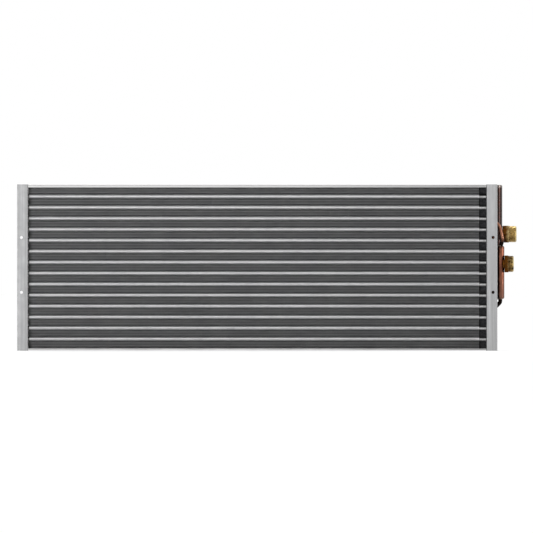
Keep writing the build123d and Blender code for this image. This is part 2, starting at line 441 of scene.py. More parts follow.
def collar_finish():
    """Bright foil drawn up round the tubes, with a fine ring at each fin and painted shade on its upper side."""
    finish = Finish("collar_aluminium", (0.84, 0.84, 0.845), 0.42)
    rings = finish.mask(STREAKS, Stretch=(900.0, 20.0, 20.0))
    clouds = finish.mask(BLOTCHES, Scale=25.0)
    painted_shade_mask = finish.mask(UPPER_SIDE_SHADE, Low=0.15, High=0.8)
    # Painted shade on the upper side of the collars.
    finish.tint(clouds, (0.74, 0.74, 0.745), 0.7).tint(painted_shade_mask, (0.20, 0.20, 0.20), 0.9)
    return finish.rough(rings, 0.36, 0.50).bump(rings, 0.0001).material


def spacer_finish():
    """The same metal left dull, with a base darker than the collars' and a nearly black upper side, both painted shade.
    """
    # Painted shade: a darker base than the collars', and a nearly black upper side.
    finish = Finish("spacer_aluminium_painted_shade", (0.54, 0.54, 0.54), 0.46)
    clouds = finish.mask(BLOTCHES, Scale=260.0, Low=0.40, High=0.62)
    painted_shade_mask = finish.mask(UPPER_SIDE_SHADE, Low=-0.1, High=0.35)
    finish.tint(clouds, (0.37, 0.37, 0.365), 0.8).tint(painted_shade_mask, (0.03, 0.03, 0.03), 1.0)
    return finish.rough(clouds, 0.44, 0.62).material


rib_distance = 9.0 * MM
rib_width = 1.8 * MM
crease_distance = 6.4 * MM
crease_width = 2.2 * MM
PLATE = plate_finish()
# Painted shade on the top rail and painted light on the bottom one: one metal, its base darker on top.
TOP_RAIL_PAINTED_SHADE = rail_finish("top_rail_aluminium_painted_shade", 0.38, 0.54)
BOTTOM_RAIL_PAINTED_LIGHT = rail_finish("bottom_rail_aluminium_painted_light", 0.54, 0.76)
FIN = fin_finish()
COLLAR = collar_finish()
SPACER = spacer_finish()
print("aluminium", [m.name for m in (PLATE, TOP_RAIL_PAINTED_SHADE, BOTTOM_RAIL_PAINTED_LIGHT, FIN, COLLAR, SPACER)])

# %% [markdown]
# Copper goes from pink to brown to nearly black with heat. The bends and feeders were brazed, so they are
# dark beside the right plate and clean further out; that dark is partly heat colour and partly painted
# shade, where the bends sit behind the flange. The tubes also carry painted shade next to the left plate
# and nearly black painted shade round both ends of the liquid header. The gas header has been heated most
# and is dark brown, a dark that is partly heat colour and partly painted shade, and the liquid header is a
# dull red brown with painted shade on its plate side and at its top. The unions are machined brass,
# stained brown by the torch.

# %% Copper and brass finishes
def tube_finish(name, heat_and_shade_reach):
    """Copper dark beside the right plate over the given reach, partly heat colour and partly painted shade."""
    finish = Finish(name, (0.40, 0.19, 0.12), 0.32)
    clouds = finish.mask(BLOTCHES, Scale=90.0)
    # Partly heat colour and partly painted shade: the copper is dark beside the right plate, behind the flange.
    heat_and_shade = finish.mask(FLAME_TINT_AND_SHADE, Plane=leg_end, Reach=heat_and_shade_reach, Fullness=1.15)
    # Painted shade, nearly black, in a band at the top of the liquid header, between the two headers.
    header_top_shade = finish.mask(
        FLAME_TINT_AND_SHADE, Axis=(0.0, 0.0, 1.0), Plane=liquid_header_high.z + header_top_shade_rise, Reach=0.010, Fullness=1.6
    )
    # Painted shade, nearly black, in a band round and below the foot of the liquid header.
    header_foot_shade = finish.mask(FLAME_TINT_AND_SHADE, Axis=(0.0, 0.0, 1.0), Plane=liquid_header_low.z - 0.016, Reach=0.030,
                            Fullness=1.4)
    # Painted shade on the copper next to the left plate.
    left_plate_shade = finish.mask(FLAME_TINT_AND_SHADE, Plane=-web_inner, Reach=0.008)
    finish.tint(clouds, (0.25, 0.10, 0.06), 0.75).tint(heat_and_shade, (0.036, 0.016, 0.010), 0.97)
    finish.tint(header_top_shade, (0.007, 0.004, 0.003), 1.0).tint(header_foot_shade, (0.007, 0.004, 0.003), 1.0)
    finish.tint(left_plate_shade, (0.012, 0.010, 0.009), 0.95)
    return finish.rough(clouds, 0.26, 0.44).material


header_top_shade_rise = 4.0 * MM
bend_heat_and_shade_reach = 60.0 * MM
feeder_heat_and_shade_reach = 40.0 * MM


def gas_header_finish():
    """Nearly black, partly with heat and partly as painted shade, under a glassy skin of flux, redder towards its foot
    and grey at its top.
    """
    # The nearly black base is partly heat colour and partly painted shade, where the header stands in the flange's
    # shadow.
    finish = Finish("gas_header_copper", (0.014, 0.005, 0.003), 0.2)
    clouds = finish.mask(BLOTCHES, Scale=45.0)
    specks = finish.mask(BLOTCHES, Scale=160.0, Low=0.52, High=0.68)
    # Lighter grey at the top end of the header.
    top_grey = finish.mask(FLAME_TINT_AND_SHADE, Axis=(0.0, 0.0, 1.0), Plane=gas_header_high.z + top_grey_rise, Reach=0.012)
    foot = finish.mask(FLAME_TINT_AND_SHADE, Axis=(0.0, 0.0, 1.0), Plane=gas_header_low.z, Reach=0.13)
    finish.tint(clouds, (0.036, 0.010, 0.006), 0.8).tint(foot, (0.17, 0.062, 0.038), 0.8)
    finish.tint(specks, (0.010, 0.007, 0.005), 0.7)
    finish.tint(top_grey, (0.34, 0.30, 0.27), 0.8)
    finish.shader.inputs["Coat Weight"].default_value = 0.3
    finish.shader.inputs["Coat Roughness"].default_value = 0.12
    return finish.rough(clouds, 0.16, 0.30).material


def liquid_header_finish():
    """A dull red brown, with painted shade on the side of the plate and at its top end."""
    finish = Finish("liquid_header_copper", (0.24, 0.092, 0.055), 0.34)
    clouds = finish.mask(BLOTCHES, Scale=60.0)
    specks = finish.mask(BLOTCHES, Scale=200.0, Low=0.54, High=0.70)
    # Painted shade on the side that faces the plate, in the shadow of the flange.
    flange_side_shade = finish.mask(FLAME_TINT_AND_SHADE, Plane=liquid_header_low.x + flange_side_shade_shift, Reach=0.009)
    foot = finish.mask(FLAME_TINT_AND_SHADE, Axis=(0.0, 0.0, 1.0), Plane=liquid_header_low.z, Reach=0.06)
    # Painted shade at the header's top end, between the two headers.
    top_end_shade = finish.mask(FLAME_TINT_AND_SHADE, Axis=(0.0, 0.0, 1.0), Plane=liquid_header_high.z, Reach=0.009)
    finish.tint(clouds, (0.18, 0.062, 0.036), 0.8).tint(foot, (0.11, 0.066, 0.052), 0.7)
    finish.tint(specks, (0.075, 0.033, 0.022), 0.6)
    finish.tint(flange_side_shade, (0.012, 0.006, 0.005), 1.0).tint(top_end_shade, (0.020, 0.010, 0.007), 0.9)
    return finish.rough(clouds, 0.28, 0.46).material


flange_side_shade_shift = 3.5 * MM


def brass_finish(name, seat_plane, stain):
    """Olive gold, burnt orange brown on the side of the header, with black specks of flux."""
    finish = Finish(name, (0.58, 0.46, 0.22), 0.32)
    clouds = finish.mask(BLOTCHES, Scale=70.0)
    heat_and_shade = finish.mask(FLAME_TINT_AND_SHADE, Plane=seat_plane, Reach=0.012, Fullness=1.6)
    specks = finish.mask(BLOTCHES, Scale=190.0, Low=0.50, High=0.64)
    finish.tint(clouds, (0.42, 0.29, 0.11), 0.8).tint(heat_and_shade, (0.10, 0.034, 0.004), 1.0)
    finish.tint(specks, (0.045, 0.026, 0.009), stain)
    return finish.rough(clouds, 0.24, 0.44).material


top_grey_rise = 4.0 * MM


def braze_finish():
    finish = Finish("braze_alloy", (0.42, 0.33, 0.24), 0.40)
    clouds = finish.mask(BLOTCHES, Scale=300.0)
    finish.tint(clouds, (0.16, 0.10, 0.07), 0.8)
    return finish.rough(clouds, 0.30, 0.55).bump(clouds, 0.0002).material


def foam_and_shade_finish():
    # Partly the strip's own colour and partly painted shade behind the bare tube ends.
    finish = Finish("strip_rubber", (0.060, 0.060, 0.064), 0.9, metallic=0.0)
    pores = finish.mask(BLOTCHES, Scale=300.0, Low=0.40, High=0.62)
    finish.tint(pores, (0.012, 0.012, 0.013), 0.9)
    return finish.bump(pores, 0.0004).material


TUBE = tube_finish("tube_copper", bend_heat_and_shade_reach)
FEEDER = tube_finish("feeder_copper", feeder_heat_and_shade_reach)
GAS_HEADER = gas_header_finish()
LIQUID_HEADER = liquid_header_finish()
GAS_BRASS = brass_finish("gas_union_brass", gas_header_high.x, 0.55)
LIQUID_BRASS = brass_finish("liquid_union_brass", liquid_header_high.x, 0.95)
BRAZE = braze_finish()
FOAM_AND_SHADE = foam_and_shade_finish()
print("copper", [m.name for m in (TUBE, FEEDER, GAS_HEADER, LIQUID_HEADER)])
print("brass and braze", [m.name for m in (GAS_BRASS, LIQUID_BRASS, BRAZE)])

# %% [markdown]
# The end plates are folded sheet. A flat web carries all the tubes, a wide flange at the front takes the
# screws and a narrow lip stiffens the rear. The middle surface of the sheet is drawn first: the web is
# one face filled between its outline and its round holes, the folds are that face's edges spun a quarter
# turn, and the flange is filled round its screw holes. A Solidify modifier then gives it its thickness
# on both sides, and a small bevel breaks the cut edges. Each tube hole has a short drawn collar.

# %% Folded end plates
HOLE_SEGMENTS = 24
FOLD_STEPS = 5
hole_radius = 3.5 * MM
hole_edge_distance = 10.0 * MM
rear_lip_width = 6.0 * MM
collar_height = 1.4 * MM
cut_edge_bevel = 0.25 * MM
low_hole_hairpin = 4
high_hole_hairpin = 9


def ring_edges(bm, centre, radius, normal, segments=HOLE_SEGMENTS):
    """A loose ring of edges round a centre."""
    turn = Vector(normal).to_track_quat("Z", "Y").to_matrix().to_4x4()
    made = bmesh.ops.create_circle(
        bm, cap_ends=False, segments=segments, radius=radius, matrix=Matrix.Translation(centre) @ turn
    )
    return list({e for v in made["verts"] for e in v.link_edges})


def outline_edges(bm, corners):
    """A loose closed outline."""
    verts = [bm.verts.new(c) for c in corners]
    return [bm.edges.new((a, b)) for a, b in zip(verts, verts[1:] + verts[:1])]


def bake_modifiers(piece):
    """Gives the piece the mesh that its modifiers make, and takes them off."""
    shape = piece.evaluated_get(bpy.context.evaluated_depsgraph_get())
    mesh = bpy.data.meshes.new_from_object(shape)
    mesh.name = piece.name
    piece.modifiers.clear()
    piece.data = mesh
    mesh.shade_smooth()
    mesh.set_sharp_from_angle(angle=SHARP_ANGLE)
    print(f"{piece.name}: {sum(len(p.vertices) - 2 for p in mesh.polygons)} triangles with its thickness")


def end_plate(side, name, node):
    """The sheet's middle surface: web, two folds, flange and lip."""
    bm = bmesh.new()
    half = plate_thickness / 2
    x_web = side * (web_inner + half)
    x_fold = x_web + side * plate_bend_radius
    y_flange = half
    y_web_front = y_flange + plate_bend_radius
    y_lip = plate_depth - half
    y_web_rear = y_lip - plate_bend_radius
    edges = outline_edges(bm, [
        (x_web, y_web_front, base_height), (x_web, y_web_rear, base_height),
        (x_web, y_web_rear, top_height), (x_web, y_web_front, top_height),
    ])
    front_edge, rear_edge = edges[3], edges[1]
    collars = []
    for k in range(tubes_per_row):
        for y, z in ((front_row, front_tube(k)), (rear_row, rear_tube(k))):
            collars += ring_edges(bm, (x_web, y, z), tube_radius + half + 0.05 * MM, (1, 0, 0))
    bmesh.ops.triangle_fill(bm, use_beauty=True, use_dissolve=False, edges=edges + collars)
    made = bmesh.ops.extrude_edge_only(bm, edges=collars)["geom"]
    raised = [g for g in made if isinstance(g, bmesh.types.BMVert)]
    bmesh.ops.translate(bm, verts=raised, vec=(side * collar_height, 0, 0))
    for edge, y_centre, turn in ((front_edge, y_web_front, side), (rear_edge, y_web_rear, -side)):
        bmesh.ops.spin(
            bm, geom=[edge, *edge.verts], cent=(x_fold, y_centre, 0), axis=(0, 0, 1),
            angle=turn * math.pi / 2, steps=FOLD_STEPS, use_merge=False, use_duplicate=False,
        )
    flange = outline_edges(bm, [
        (x_fold, y_flange, base_height), (side * outer_edge, y_flange, base_height),
        (side * outer_edge, y_flange, top_height), (x_fold, y_flange, top_height),
    ])
    for k in (low_hole_hairpin, high_hole_hairpin):
        height = front_tube(k) + tube_pitch / 4
        flange += ring_edges(bm, (side * (outer_edge - hole_edge_distance), y_flange, height), hole_radius, (0, 1, 0))
    bmesh.ops.triangle_fill(bm, use_beauty=True, use_dissolve=False, edges=flange)
    lip = outline_edges(bm, [
        (x_fold, y_lip, base_height), (side * (web_inner + rear_lip_width), y_lip, base_height),
        (side * (web_inner + rear_lip_width), y_lip, top_height), (x_fold, y_lip, top_height),
    ])
    bmesh.ops.triangle_fill(bm, use_beauty=True, use_dissolve=False, edges=lip)
    piece = finish_piece(bm, name, PLATE, [node])
    thick = piece.modifiers.new("thickness", "SOLIDIFY")
    thick.thickness = plate_thickness
    thick.offset = 0.0
    edge = piece.modifiers.new("cut edge", "BEVEL")
    edge.width = cut_edge_bevel
    edge.segments = 1
    edge.limit_method = "ANGLE"
    edge.angle_limit = math.radians(60)
    bake_modifiers(piece)
    return piece


end_plate(-1, "left_plate_sheet", "left_end_plate")
end_plate(1, "right_plate_sheet", "right_end_plate")

# %% [markdown]
# The rails are light folded channels that cap the fins. Their section is a short chain of points with a
# real fold at each corner, pushed along the coil, so the lips catch the light as rolled sheet does.

# %% Rails
rail_thickness = 1.0 * MM
rail_fold = 0.9 * MM
RAIL_FOLD_STEPS = 3


def rail_sheet(name, node, lip_down, material):
    """A channel section pushed from plate to plate, given its thickness by a modifier."""
    low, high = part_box(node)
    half = rail_thickness / 2
    y_front, y_rear = low.y + half, high.y - half
    web = high.z - half if lip_down else low.z + half
    tip = low.z if lip_down else high.z
    inward = -1 if lip_down else 1
    bm = bmesh.new()
    chain = [Vector((low.x, y_front, tip)), Vector((low.x, y_front, web + inward * rail_fold))]
    for i in range(1, RAIL_FOLD_STEPS + 1):
        a = math.pi / 2 * i / RAIL_FOLD_STEPS
        chain.append(Vector((
            low.x,
            y_front + rail_fold * (1 - math.cos(a)),
            web + inward * rail_fold * (1 - math.sin(a)),
        )))
    mirrored = [Vector((low.x, y_front + y_rear - p.y, p.z)) for p in reversed(chain)]
    verts = [bm.verts.new(p) for p in chain + mirrored]
    edges = [bm.edges.new(pair) for pair in zip(verts, verts[1:])]
    made = bmesh.ops.extrude_edge_only(bm, edges=edges)["geom"]
    far = [g for g in made if isinstance(g, bmesh.types.BMVert)]
    bmesh.ops.translate(bm, verts=far, vec=(high.x - low.x, 0, 0))
    piece = finish_piece(bm, name, material, [node])
    thick = piece.modifiers.new("thickness", "SOLIDIFY")
    thick.thickness = rail_thickness
    thick.offset = 0.0
    bake_modifiers(piece)
    return piece


rail_sheet("top_rail_sheet", "top_rail", True, TOP_RAIL_PAINTED_SHADE)
rail_sheet("bottom_rail_sheet", "bottom_rail", False, BOTTOM_RAIL_PAINTED_LIGHT)

# %% [markdown]
# The fins are what make the coil: several hundred sheets of thin foil, under two millimetres apart. Each
# is flat near the tubes and folded into waves between the two rows, which stirs the air and stops the eye
# from seeing through. One fin is a wavy line pushed up to its height and given its thickness, and the
# pack is that fin copied along the coil. A fin has only a few dozen faces, because it is repeated so
# often, and a little seeded unevenness keeps the pack from looking ruled.

# %% Fin pack
FIN_PITCH = 1.814 * MM
fin_thickness = 0.15 * MM
wave_depth = 1.1 * MM
fin_unevenness = 0.12 * MM
random.seed(7)


def fin_line():
    """The fin seen from above: points across the coil, from the front edge to the rear one."""
    front, rear = front_fin_low.y, rear_fin_high.y
    flat = front_row + 1.0 * MM
    quarter = (core_middle - flat) / 2
    return [
        (0.0, front), (0.0, flat), (wave_depth, flat + quarter), (-wave_depth, core_middle),
        (wave_depth, core_middle + quarter), (0.0, front + rear - flat), (0.0, rear),
    ]


def fin_pack():
    bm = bmesh.new()
    start, end = front_fin_low.x + wave_depth + fin_thickness, front_fin_high.x - wave_depth - fin_thickness
    count = int((end - start) / FIN_PITCH) + 1
    step = (end - start) / (count - 1)
    low, high = front_fin_low.z, front_fin_high.z
    verts = [bm.verts.new((start + x, y, low)) for x, y in fin_line()]
    edges = [bm.edges.new(pair) for pair in zip(verts, verts[1:])]
    made = bmesh.ops.extrude_edge_only(bm, edges=edges)["geom"]
    bmesh.ops.translate(bm, verts=[g for g in made if isinstance(g, bmesh.types.BMVert)], vec=(0, 0, high - low))
    bmesh.ops.solidify(bm, geom=bm.faces[:], thickness=fin_thickness)
    bmesh.ops.recalc_face_normals(bm, faces=bm.faces[:])
    fin = bm.verts[:] + bm.edges[:] + bm.faces[:]
    for i in range(1, count):
        made = bmesh.ops.duplicate(bm, geom=fin)["geom"]
        shift = i * step + random.uniform(-fin_unevenness, fin_unevenness)
        bmesh.ops.translate(bm, verts=[g for g in made if isinstance(g, bmesh.types.BMVert)], vec=(shift, 0, 0))
    print("fins", count, "pitch mm", round(step / MM, 3))
    return finish_piece(
        bm, "fin_pack", FIN, ["fin_core", "front_fin_edges", "rear_fin_edges"], weld=1e-7
    )


fin_pack()

# %% [markdown]
# A tube is a circle that travels. It is pushed along each straight run, and spun about the centre of each
# bend, just as a bending machine does it, so runs and bends meet without a kink. The same helper makes
# the long hairpins, the return bends and the feeders. A lathe helper turns a profile about an axis for
# collars, braze rings, headers and unions.

# %% Tube and lathe helpers
TUBE_SEGMENTS = 24
ARC_STEP = math.radians(12)


def edges_of(geometry):
    return [g for g in geometry if isinstance(g, bmesh.types.BMEdge)]


def verts_of(geometry):
    return [g for g in geometry if isinstance(g, bmesh.types.BMVert)]


def run_on(bm, ring, move):
    """Pushes a ring of edges along and returns the ring at its new end."""
    if move.length < 1e-6:
        return ring
    made = bmesh.ops.extrude_edge_only(bm, edges=ring)["geom"]
    ahead = set(verts_of(made))
    bmesh.ops.translate(bm, verts=list(ahead), vec=move)
    return [e for e in edges_of(made) if e.verts[0] in ahead and e.verts[1] in ahead]


def bent_tube(bm, points, bend_radii, radius, segments=TUBE_SEGMENTS):
    """A closed round tube along straight runs joined by true arcs."""
    points = [Vector(p) for p in points]
    way = (points[1] - points[0]).normalized()
    turn = way.to_track_quat("Z", "Y").to_matrix().to_4x4()
    made = bmesh.ops.create_circle(
        bm, cap_ends=True, segments=segments, radius=radius, matrix=Matrix.Translation(points[0]) @ turn
    )
    ring = list({e for v in made["verts"] for e in v.link_edges})
    at = points[0]
    for corner, after, bend in zip(points[1:-1], points[2:], bend_radii):
        next_way = (after - corner).normalized()
        angle = way.angle(next_way)
        setback = bend * math.tan(angle / 2)
        entry = corner - way * setback
        ring = run_on(bm, ring, entry - at)
        axis = way.cross(next_way).normalized()
        made = bmesh.ops.spin(
            bm, geom=ring + list({v for e in ring for v in e.verts}), cent=entry + axis.cross(way) * bend,
            axis=axis, angle=angle, steps=max(2, round(angle / ARC_STEP)), use_merge=False, use_duplicate=False,
        )
        ring = edges_of(made["geom_last"])
        at = corner + next_way * setback
        way = next_way
    ring = run_on(bm, ring, points[-1] - at)
    bmesh.ops.contextual_create(bm, geom=ring)


def lathe(bm, profile, centre, axis, segments=TUBE_SEGMENTS):
    """Turns a chain of (radius, distance along the axis) points into a round solid."""
    axis = Vector(axis).normalized()
    side = axis.orthogonal().normalized()
    verts = [bm.verts.new(Vector(centre) + side * r + axis * h) for r, h in profile]
    edges = [bm.edges.new(pair) for pair in zip(verts, verts[1:])]
    bmesh.ops.spin(
        bm, geom=verts + edges, cent=centre, axis=axis, angle=2 * math.pi, steps=segments,
        use_merge=True, use_duplicate=False,
    )


# %% [markdown]
# A hairpin is one tube bent into a U: the leg of the front row, the bend outside the left plate and the
# leg of the rear row, half a pitch lower. Real ones are round, so these stand for the solids, which have
# flats.

# %% Hairpin tubes
def hairpin(k):
    turn_x = -web_outer - hairpin_lead
    reach = math.hypot(rear_row - front_row, tube_pitch / 2) / 2
    front = Vector((leg_end, front_row, front_tube(k)))
    rear = Vector((leg_end, rear_row, rear_tube(k)))
    corner = Vector((turn_x - reach - leg_end, 0, 0))
    bm = bmesh.new()
    bent_tube(bm, [front, front + corner, rear + corner, rear], [reach, reach], tube_radius)
    name = f"hairpin_tube_{k + 1:02d}"
    return finish_piece(bm, f"{name}_round", TUBE, [name])


for k in range(tubes_per_row):
    hairpin(k)

# %% [markdown]
# Where a tube passes a fin, the foil is drawn up into a collar, and the collars of all the fins touch, so
# that in the pack the tube is clothed in bright aluminium. That is why the coil shows silver stripes and
# not copper ones. Plain spacer sleeves bridge the space between the fins and each plate, a short one at
# the left and a long one at the right. Their base is painted darker than the collars' as painted shade,
# and the upper sides of collars and spacers carry painted shade, nearly black on the spacers.

# %% Collars and spacers
collar_radius = 5.25 * MM
collar_start_gap = 2.0 * MM
spacer_radius = 4.95 * MM
end_rounding = 0.3 * MM


def sleeve(bm, x_from, x_to, y, z, radius):
    """A thin-walled sleeve with rounded ends, round a tube along the coil."""
    inner = tube_radius + 0.02 * MM
    profile = [
        (inner, 0.0), (radius - end_rounding, 0.0), (radius, end_rounding),
        (radius, x_to - x_from - end_rounding), (radius - end_rounding, x_to - x_from), (inner, x_to - x_from),
    ]
    lathe(bm, profile, (x_from, y, z), (1, 0, 0))


def row_of_sleeves(name, x_from, x_to, y, height, radius, material):
    bm = bmesh.new()
    for k in range(tubes_per_row):
        sleeve(bm, x_from, x_to, y, height(k), radius)
    return finish_piece(bm, name, material)


pack_start = front_fin_low.x + collar_start_gap
pack_end = front_fin_high.x
row_of_sleeves("front_row_collars", pack_start, pack_end, front_row, front_tube, collar_radius, COLLAR)
row_of_sleeves("rear_row_collars", pack_start, pack_end, rear_row, rear_tube, collar_radius, COLLAR)
for side, x_from, x_to in (("left", -web_inner, pack_start), ("right", pack_end, web_inner)):
    row_of_sleeves(f"front_row_{side}_spacers", x_from, x_to, front_row, front_tube, spacer_radius, SPACER)
    row_of_sleeves(f"rear_row_{side}_spacers", x_from, x_to, rear_row, rear_tube, spacer_radius, SPACER)

# %% [markdown]
# A return bend joins two tube ends. Its ends are belled out to slip over them and are brazed there, so it
# gets a short wider bell at each end and a ring of braze metal where the bell meets the tube.

# %% Return bends
bell_radius = tube_radius + 0.7 * MM
bell_length = 6.0 * MM
return_lead = 1.0 * MM
braze_radius = 0.9 * MM
circuits = [(0, 4), (5, 7), (8, 10), (11, 13)]
braze = bmesh.new()


def braze_ring(centre, axis, radius):
    """A rounded ring of braze metal."""
    steps = 6
    profile = [
        (radius + braze_radius * math.sin(math.pi * i / steps), braze_radius * -math.cos(math.pi * i / steps))
        for i in range(steps + 1)
    ]
    lathe(braze, profile + profile[:1], centre, axis, segments=20)


def bell(bm, end):
    """The widened end of a bend or feeder, slipped over a tube end."""
    start = end.x - (leg_end - web_outer) + 0.6 * MM
    length = bell_length
    profile = [
        (tube_radius, 0.0), (bell_radius, 0.0), (bell_radius, length - 1.5 * MM), (tube_radius, length),
        (tube_radius, 0.0),
    ]
    lathe(bm, profile, (start, end.y, end.z), (1, 0, 0))
    braze_ring((start, end.y, end.z), (1, 0, 0), tube_radius)


def return_bend(number, y, z):
    upper = Vector((leg_end, y, z))
    lower = upper - Vector((0, 0, tube_pitch))
    out = Vector((return_lead + tube_pitch / 2, 0, 0))
    bm = bmesh.new()
    bent_tube(bm, [upper, upper + out, lower + out, lower], [tube_pitch / 2] * 2, tube_radius)
    bell(bm, upper)
    bell(bm, lower)
    name = f"return_bend_{number:02d}"
    return finish_piece(bm, f"{name}_round", TUBE, [name])


bend_uppers = []
for low, high in circuits:
    for k in range(high, low, -2):
        bend_uppers.append((front_row, front_tube(k)))
        bend_uppers.append((rear_row, rear_tube(k - 1)))
for number, (y, z) in enumerate(bend_uppers, 1):
    return_bend(number, y, z)

# %% [markdown]
# The headers are upright pipes with spun ends. The gas header stands behind the tube ends and the liquid
# header in front, between the two middle circuits. Each is turned on the lathe from one profile.

# %% Headers
HEADER_SEGMENTS = 40
spun_end = 3.0 * MM


def header_pipe(name, low, high, material, node):
    radius = (high.x - low.x) / 2
    length = high.z - low.z
    profile = [(0.0, 0.0), (radius - spun_end, 0.0)]
    for i in range(1, 6):
        a = math.pi / 2 * i / 5
        profile.append((radius - spun_end * (1 - math.sin(a)), spun_end * (1 - math.cos(a))))
    profile += [(r, length - h) for r, h in reversed(profile)]
    bm = bmesh.new()
    lathe(bm, profile, ((low.x + high.x) / 2, (low.y + high.y) / 2, low.z), (0, 0, 1), HEADER_SEGMENTS)
    return finish_piece(bm, name, material, [node])


header_pipe("gas_header_pipe", gas_header_low, gas_header_high, GAS_HEADER, "gas_header")
header_pipe(
    "liquid_header_pipe", liquid_header_low, liquid_header_high, LIQUID_HEADER,
    "liquid_header",
)

# %% [markdown]
# Feeders join the circuits to the headers. Hot gas enters each circuit at its top rear tube, and liquid
# leaves at its bottom front tube. Two of the liquid feeders go straight into the side of their header,
# the top one drops into its upper end and the lowest climbs between the bends into its lower end.

# %% Feeders
feeder_lead = 6.0 * MM
entry_margin = 12.0 * MM
riser_x = web_outer + 13.8 * MM
riser_end_drop = 8.0 * MM
drop_knee_back = 2.0 * MM
drop_knee_fall = 18.0 * MM
drop_bulge = 5.0 * MM
drop_bulge_rise = 14.5 * MM
gas_axis = (gas_header_low + gas_header_high) / 2
liquid_axis = (liquid_header_low + liquid_header_high) / 2
gas_radius = (gas_header_high.x - gas_header_low.x) / 2
liquid_radius = (liquid_header_high.x - liquid_header_low.x) / 2


def feeder(name, points, bend_radii):
    bm = bmesh.new()
    bent_tube(bm, points, bend_radii, tube_radius)
    bell(bm, points[0])
    return finish_piece(bm, f"{name}_round", FEEDER, [name])


def side_points(start, axis, radius, low, high):
    """Points from a tube end to the side of a header, and a ring of braze where they meet."""
    entry = min(max(start.z, low.z + entry_margin), high.z - entry_margin)
    corner = start + Vector((feeder_lead, 0, 0))
    end = Vector((axis.x, axis.y, entry))
    way = (end - corner).normalized()
    braze_ring(end - way * radius, way, tube_radius)
    return [start, corner, end - way * radius * 0.5]


for number, (low, high) in enumerate(circuits, 1):
    gas_start = Vector((leg_end, rear_row, rear_tube(high)))
    feeder(f"gas_feeder_{number}", side_points(gas_start, gas_axis, gas_radius, gas_header_low, gas_header_high),
           [7 * MM])
    start = Vector((leg_end, front_row, front_tube(low)))
    corner = start + Vector((feeder_lead, 0, 0))
    if start.z > liquid_header_high.z:
        top = Vector((liquid_axis.x, liquid_axis.y, liquid_header_high.z))
        knee = Vector((top.x - drop_knee_back, (corner.y + top.y) / 2, corner.z - drop_knee_fall))
        bulge = top + Vector((drop_bulge, 0, drop_bulge_rise))
        inside = top - Vector((0, 0, tube_radius))
        points, bends = [start, corner, knee, bulge, inside], [7 * MM, 16 * MM, 16 * MM]
        braze_ring(top, bulge - inside, tube_radius)
    elif start.z < liquid_header_low.z:
        base = Vector((liquid_axis.x, liquid_axis.y, liquid_header_low.z))
        knee = base - Vector((0, 0, riser_end_drop))
        step = Vector((riser_x - corner.x, core_middle - corner.y, 0))
        low_point = corner + step + Vector((0, 0, step.length))
        high_point = Vector((riser_x, core_middle, knee.z - (knee.x - riser_x)))
        points = [start, corner, low_point, high_point, knee, base + Vector((0, 0, 2 * MM))]
        bends = [7 * MM, 12 * MM, 12 * MM, 9 * MM]
        braze_ring(base, (0, 0, 1), tube_radius)
    else:
        points, bends = side_points(start, liquid_axis, liquid_radius, liquid_header_low, liquid_header_high), [12 * MM]
    feeder(f"liquid_feeder_{number}", points, bends)

# %% [markdown]
# The unions are machined from brass bar. A hexagon takes the spanner, and a threaded nose with an open
# bore takes the hose. The hexagon is a six-sided face pushed to its length, with its corners turned off
# by a lathe cut, and the thread is a small tooth that travels round the nose along a helix.

# %% Unions
across_flats = 39.0 * MM
thread_radius = 19.05 * MM
thread_depth = 0.9 * MM
thread_pitch = 1.6 * MM
bore_radius = 12.5 * MM
bore_floor = 4.0 * MM
neck_radius = 11.0 * MM
port_radius = 8.0 * MM
seat_gap = 0.4 * MM
UNION_SEGMENTS = 48


def hexagon(bm, x_from, length, y, z):
    """A hexagon with flats above and below, its corners turned off at both ends."""
    made = bmesh.ops.create_circle(
        bm, cap_ends=True, segments=6, radius=across_flats / 2 / math.cos(math.pi / 6),
        matrix=Matrix.Translation((x_from, y, z)) @ Matrix.Rotation(math.pi / 2, 4, "Y"),
    )
    face = made["verts"][0].link_faces[0]
    top = bmesh.ops.extrude_face_region(bm, geom=[face])["geom"]
    bmesh.ops.translate(bm, verts=verts_of(top), vec=(length, 0, 0))
    ends = [e for e in bm.edges if abs(e.verts[0].co.x - e.verts[1].co.x) < 1e-7]
    bmesh.ops.bevel(
        bm, geom=ends, offset=1.0 * MM, segments=2, profile=0.5, affect="EDGES", material=-1
    )


def thread(bm, x_from, x_to, y, z):
    """One tooth spun round the nose along a helix."""
    turns = (x_to - x_from - thread_pitch) / thread_pitch
    root = thread_radius - thread_depth
    tooth = [(root, 0.0), (thread_radius, thread_pitch * 0.4), (thread_radius, thread_pitch * 0.6), (root, thread_pitch)]
    verts = [bm.verts.new((x_from + h, y, z + r)) for r, h in tooth]
    face = bm.faces.new(verts)
    steps = round(turns * UNION_SEGMENTS)
    bmesh.ops.spin(
        bm, geom=[face, *face.edges, *face.verts], cent=(x_from, y, z), axis=(1, 0, 0),
        dvec=((x_to - x_from - thread_pitch) / steps, 0, 0), angle=turns * 2 * math.pi, steps=steps,
        use_merge=False, use_duplicate=False,
    )


